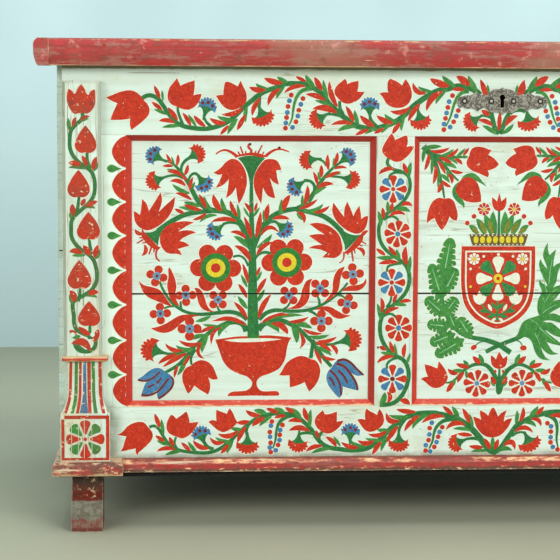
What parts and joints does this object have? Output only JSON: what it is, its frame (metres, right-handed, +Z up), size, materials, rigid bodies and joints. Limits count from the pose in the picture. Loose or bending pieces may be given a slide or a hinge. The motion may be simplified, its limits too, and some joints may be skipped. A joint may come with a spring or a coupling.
{
  "type": "wedding chest",
  "caption": "Painted pine chest with a hinged lid, framed and panelled flower-painted front, half pilasters, base moulding and sawn feet, with a lock and an inner till.",
  "frame": {"origin": "on the floor, under the middle of the chest's bounding box", "axes": "+X to the right of someone who faces the front, +Y from the front to the back, +Z up"},
  "size_m": [1.238, 0.609, 0.651],
  "materials": {
    "bare_wood": "bare pine, aged",
    "escutcheon_iron": "thin engraved iron, aged grey",
    "foot_wood": "pine, red paint, worn grey where boots have rubbed it",
    "forged_iron": "forged iron, dark, a little rusty",
    "painted_front_wood": "pine, brushed with pale mint cream milk paint and ornament, worn and chipped",
    "painted_pilaster_wood": "pine, pale mint cream paint with painted ornament, arrises worn to the wood",
    "painted_side_wood": "pine, plain pale mint cream paint, worn",
    "red_base_wood": "pine, red paint, badly chipped to the cream ground",
    "red_lid_wood": "pine, dusty red paint, worn through along the arrises",
    "red_moulding_wood": "pine, red paint, worn",
    "spring_steel": "spring steel, dull"
  },
  "bodies": {
    "carcass": {"back_board_lower": "painted_side_wood", "back_board_upper": "painted_side_wood", "back_left_foot": "foot_wood", "back_right_foot": "foot_wood", "bottom_board_back": "bare_wood", "bottom_board_front": "bare_wood", "bottom_board_middle": "bare_wood", "carcass_nails": "forged_iron", "centre_panel_moulding": "red_moulding_wood", "escutcheon": "escutcheon_iron", "escutcheon_nails": "forged_iron", "front_base_moulding": "red_base_wood", "front_board_lower": "painted_front_wood", "front_board_upper": "painted_front_wood", "front_bottom_rail": "painted_front_wood", "front_left_foot": "foot_wood", "front_right_foot": "foot_wood", "front_top_rail": "painted_front_wood", "hinge_pins": "forged_iron", "left_corner_moulding": "red_base_wood", "left_hinge_back_strap": "forged_iron", "left_muntin": "painted_front_wood", "left_panel_moulding": "red_moulding_wood", "left_pilaster": "painted_pilaster_wood", "left_pilaster_bead": "painted_pilaster_wood", "left_plinth_block": "painted_pilaster_wood", "left_side_base_moulding": "red_base_wood", "left_side_board_lower": "painted_side_wood", "left_side_board_upper": "painted_side_wood", "left_stile": "painted_front_wood", "lock_case": "forged_iron", "lock_key_post": "forged_iron", "lock_spring": "spring_steel", "right_corner_moulding": "red_base_wood", "right_hinge_back_strap": "forged_iron", "right_muntin": "painted_front_wood", "right_panel_moulding": "red_moulding_wood", "right_pilaster": "painted_pilaster_wood", "right_pilaster_bead": "painted_pilaster_wood", "right_plinth_block": "painted_pilaster_wood", "right_side_base_moulding": "red_base_wood", "right_side_board_lower": "painted_side_wood", "right_side_board_upper": "painted_side_wood", "right_stile": "painted_front_wood", "till_bottom": "bare_wood", "till_wall": "bare_wood"},
    "lid": {"lid_board_front": "red_lid_wood", "lid_board_middle": "red_lid_wood", "lid_board_back": "red_lid_wood", "lid_front_moulding": "red_lid_wood", "lid_left_cleat": "red_lid_wood", "lid_right_cleat": "red_lid_wood", "lid_battens": "bare_wood", "left_hinge_lid_strap": "forged_iron", "right_hinge_lid_strap": "forged_iron", "lid_staple": "forged_iron", "lid_nails": "forged_iron"},
    "bolt": {"lock_bolt": "forged_iron"}
  },
  "joints": [
    {"name": "lid_hinge", "type": "hinge", "parent": "carcass", "child": "lid", "pos_m": [0, 0.2985, 0.62975], "axis": [-1, 0, 0], "range_deg": [0, 100]},
    {"name": "lock_bolt_slide", "type": "slide", "parent": "carcass", "child": "bolt", "axis": [1, 0, 0], "range_m": [0, 0.014]}
  ]
}
